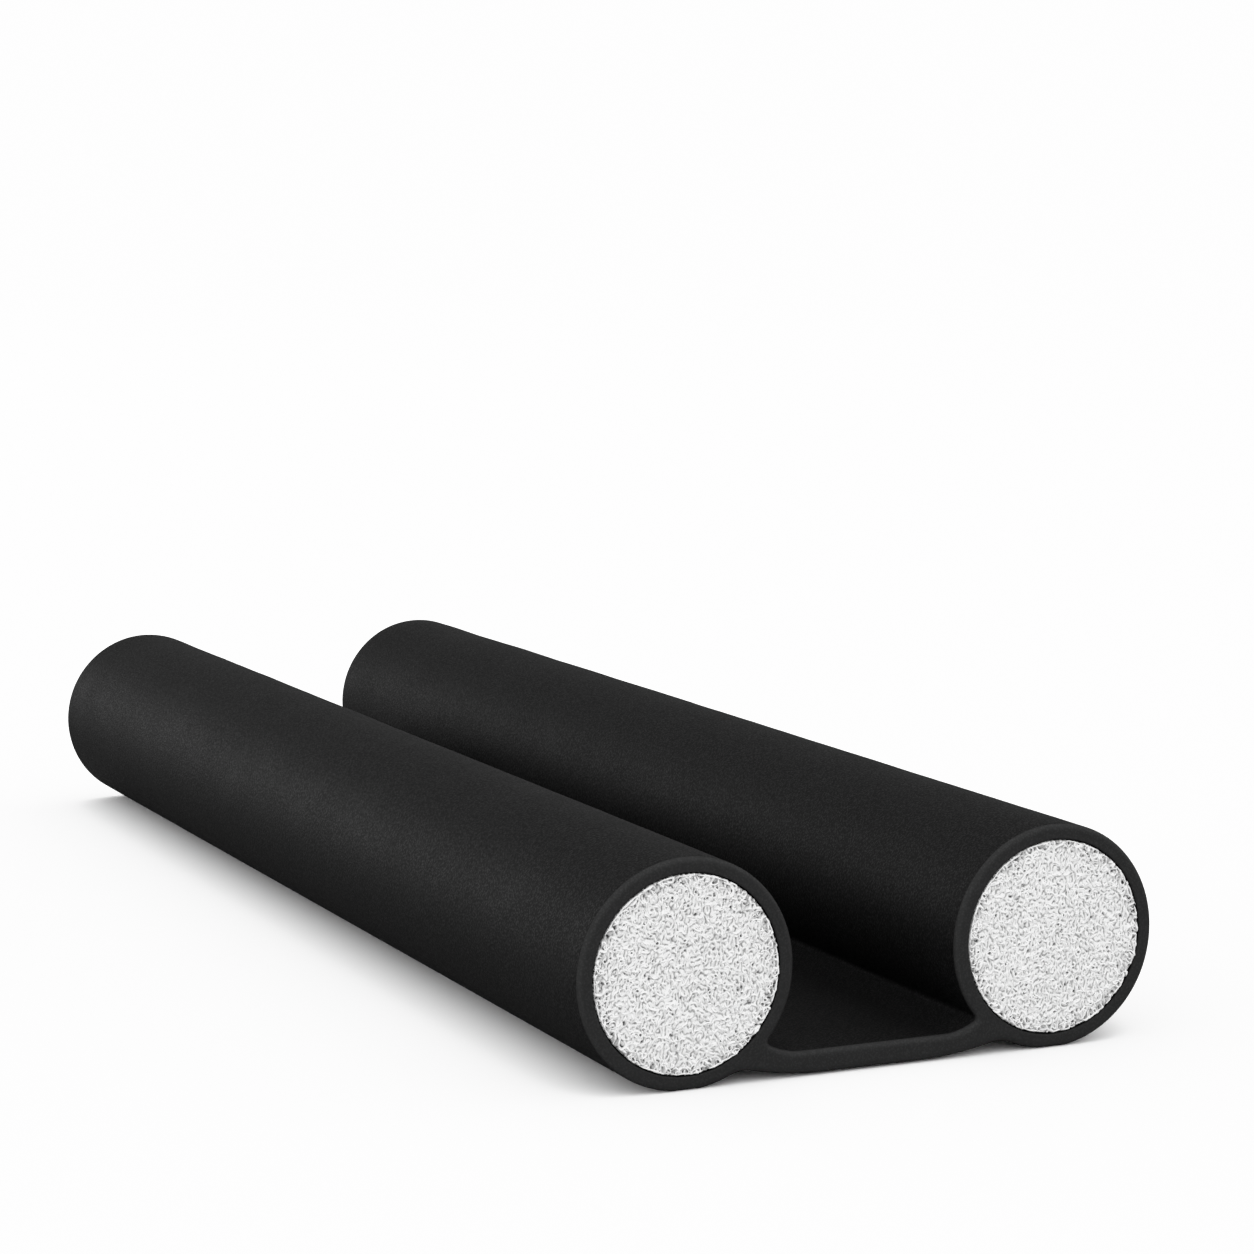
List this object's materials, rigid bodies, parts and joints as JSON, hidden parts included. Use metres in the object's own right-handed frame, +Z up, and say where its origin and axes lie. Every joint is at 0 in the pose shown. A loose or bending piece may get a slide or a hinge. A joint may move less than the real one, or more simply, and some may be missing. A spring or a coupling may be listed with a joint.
{
  "type": "twin draught excluder",
  "caption": "Twin draught excluder: a soft black jacket round a white foam core each side of a door, joined by a web that slides under it.",
  "frame": {"origin": "on the floor, midway between the two tubes and midway along them", "axes": "+X along the door, towards the end that faces the camera in the picture; -Y towards the front tube; +Z up"},
  "size_m": [0.5, 0.178, 0.0637],
  "materials": {
    "jacket_cloth": "matt black, soft foam-backed cloth with a fine grain",
    "white_foam": "white crinkled foam with a fibrous cut face"
  },
  "bodies": {
    "root": {"jacket": "jacket_cloth", "core_front": "white_foam", "core_back": "white_foam"}
  },
  "joints": []
}
